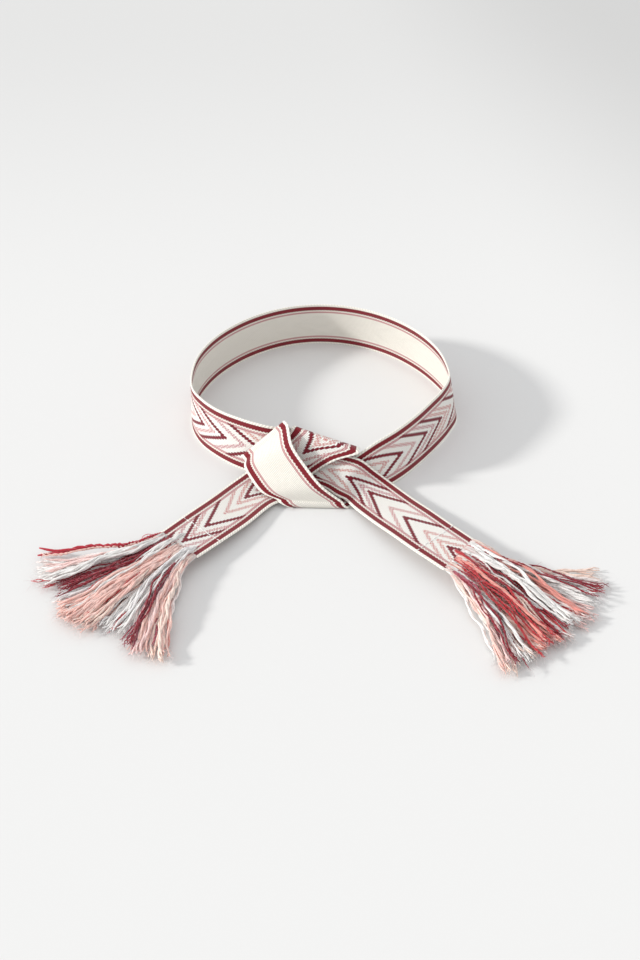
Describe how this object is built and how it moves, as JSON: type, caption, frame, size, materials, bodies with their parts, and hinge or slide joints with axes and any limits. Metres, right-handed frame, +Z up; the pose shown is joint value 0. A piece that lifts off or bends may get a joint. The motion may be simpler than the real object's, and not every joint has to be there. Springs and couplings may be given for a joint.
{
  "type": "sash belt",
  "caption": "Woven sash belt with a chevron pattern, tied into a ring with one overhand knot, its two fringed tails spread out in front.",
  "frame": {"origin": "on the surface that the belt rests on, under the middle of the whole belt", "axes": "+X to the right across both tails, +Y from the knot to the back of the ring, +Z up"},
  "size_m": [0.462, 0.4596, 0.0572],
  "materials": {
    "woven_band": "matte warp-faced weave",
    "fringe_yarn": "loose spun yarn"
  },
  "bodies": {
    "root": {"woven_band": "woven_band", "fringe_left": "fringe_yarn", "fringe_right": "fringe_yarn"}
  },
  "joints": []
}
